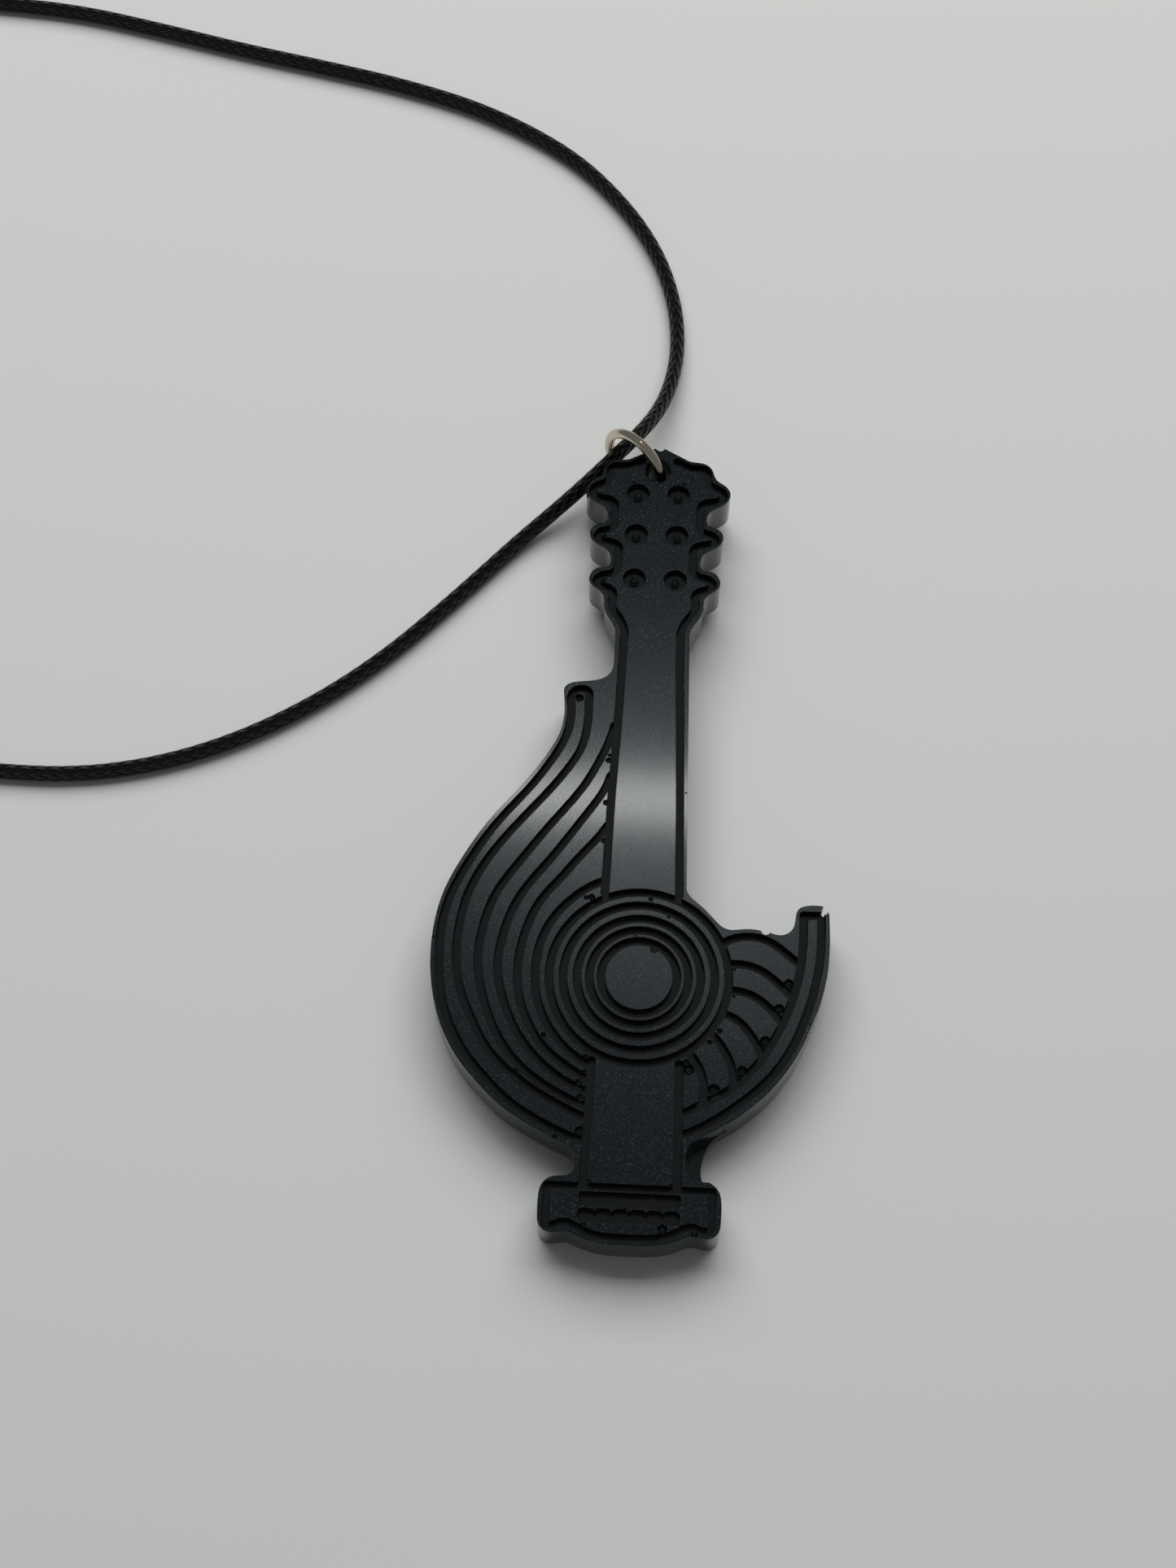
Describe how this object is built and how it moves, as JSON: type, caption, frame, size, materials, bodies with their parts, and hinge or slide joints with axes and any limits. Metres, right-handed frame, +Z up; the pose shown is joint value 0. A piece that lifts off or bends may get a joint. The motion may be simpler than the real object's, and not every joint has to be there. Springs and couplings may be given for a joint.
{
  "type": "guitar pendant necklace",
  "caption": "Guitar-shaped cast resin pendant with grooved relief, hung by a metal jump ring on a braided cord necklace that is lying open.",
  "frame": {"origin": "on the surface the pendant lies on, under the middle of the pendant and its jump ring", "axes": "+Z up out of the relief face, +Y from the bridge block to the headstock, +X to the right seen from above"},
  "size_m": [0.1827, 0.183, 0.0107],
  "materials": {
    "resin": "satin",
    "nickel": "polished",
    "spring_steel": "bright",
    "cord": "waxed braid"
  },
  "bodies": {
    "pendant": {"pendant": "resin"},
    "ring_and_cord": {"jump_ring": "nickel", "cord": "cord", "cord_cap_clasp": "nickel", "cord_cap_chain": "nickel"},
    "link_ring_clasp": {"link_ring_clasp": "nickel"},
    "clasp": {"clasp_body": "nickel", "clasp_pin": "nickel", "clasp_spring": "spring_steel"},
    "clasp_lever": {"clasp_lever": "nickel"},
    "link_ring_chain": {"link_ring_chain": "nickel"},
    "chain_link_01": {"chain_link_01": "nickel"},
    "chain_link_02": {"chain_link_02": "nickel"},
    "chain_link_03": {"chain_link_03": "nickel"},
    "chain_link_04": {"chain_link_04": "nickel"},
    "chain_link_05": {"chain_link_05": "nickel"},
    "chain_link_06": {"chain_link_06": "nickel"},
    "chain_link_07": {"chain_link_07": "nickel"},
    "chain_link_08": {"chain_link_08": "nickel"},
    "chain_link_09": {"chain_link_09": "nickel"},
    "chain_link_10": {"chain_link_10": "nickel"},
    "end_drop": {"end_drop": "nickel"}
  },
  "joints": [
    {"name": "ring_swing", "type": "hinge", "parent": "pendant", "child": "ring_and_cord", "pos_m": [0.00101, 0.0487, 0.00529], "axis": [0, 0, 1], "range_deg": [-60, 0]},
    {"name": "clasp_ring_turn", "type": "hinge", "parent": "ring_and_cord", "child": "link_ring_clasp", "pos_m": [-0.11937, 0.06032, 0.0015], "axis": [0, 0, 1], "range_deg": [-25, 25]},
    {"name": "clasp_turn", "type": "hinge", "parent": "link_ring_clasp", "child": "clasp", "pos_m": [-0.11734, 0.05711, 0.0015], "axis": [0, 0, 1], "range_deg": [-25, 25]},
    {"name": "lever_turn", "type": "hinge", "parent": "clasp", "child": "clasp_lever", "pos_m": [-0.11398, 0.0545, 0.0015], "axis": [0, 0, 1], "range_deg": [-20, 0], "stiffness_Nm_per_rad": 0.002, "springref_deg": 20.05},
    {"name": "chain_ring_turn", "type": "hinge", "parent": "ring_and_cord", "child": "link_ring_chain", "pos_m": [-0.12913, 0.02689, 0.0015], "axis": [0, 0, 1], "range_deg": [-25, 25]},
    {"name": "link_01_turn", "type": "hinge", "parent": "link_ring_chain", "child": "chain_link_01", "pos_m": [-0.13118, 0.029, 0.0015], "axis": [0, 0, 1], "range_deg": [-3, 12]},
    {"name": "link_02_turn", "type": "hinge", "parent": "chain_link_01", "child": "chain_link_02", "pos_m": [-0.1339, 0.0318, 0.0015], "axis": [0, 0, 1], "range_deg": [-3, 12]},
    {"name": "link_03_turn", "type": "hinge", "parent": "chain_link_02", "child": "chain_link_03", "pos_m": [-0.13544, 0.03337, 0.0015], "axis": [0, 0, 1], "range_deg": [-3, 12]},
    {"name": "link_04_turn", "type": "hinge", "parent": "chain_link_03", "child": "chain_link_04", "pos_m": [-0.13816, 0.03617, 0.0015], "axis": [0, 0, 1], "range_deg": [-3, 12]},
    {"name": "link_05_turn", "type": "hinge", "parent": "chain_link_04", "child": "chain_link_05", "pos_m": [-0.13969, 0.03775, 0.0015], "axis": [0, 0, 1], "range_deg": [-3, 12]},
    {"name": "link_06_turn", "type": "hinge", "parent": "chain_link_05", "child": "chain_link_06", "pos_m": [-0.14241, 0.04054, 0.0015], "axis": [0, 0, 1], "range_deg": [-3, 12]},
    {"name": "link_07_turn", "type": "hinge", "parent": "chain_link_06", "child": "chain_link_07", "pos_m": [-0.14394, 0.04212, 0.0015], "axis": [0, 0, 1], "range_deg": [-3, 12]},
    {"name": "link_08_turn", "type": "hinge", "parent": "chain_link_07", "child": "chain_link_08", "pos_m": [-0.14666, 0.04492, 0.0015], "axis": [0, 0, 1], "range_deg": [-3, 12]},
    {"name": "link_09_turn", "type": "hinge", "parent": "chain_link_08", "child": "chain_link_09", "pos_m": [-0.1482, 0.04649, 0.0015], "axis": [0, 0, 1], "range_deg": [-3, 12]},
    {"name": "link_10_turn", "type": "hinge", "parent": "chain_link_09", "child": "chain_link_10", "pos_m": [-0.15091, 0.04929, 0.0015], "axis": [0, 0, 1], "range_deg": [-3, 12]},
    {"name": "drop_turn", "type": "hinge", "parent": "chain_link_10", "child": "end_drop", "pos_m": [-0.15304, 0.05147, 0.0015], "axis": [0, 0, 1], "range_deg": [-10, 10]}
  ]
}
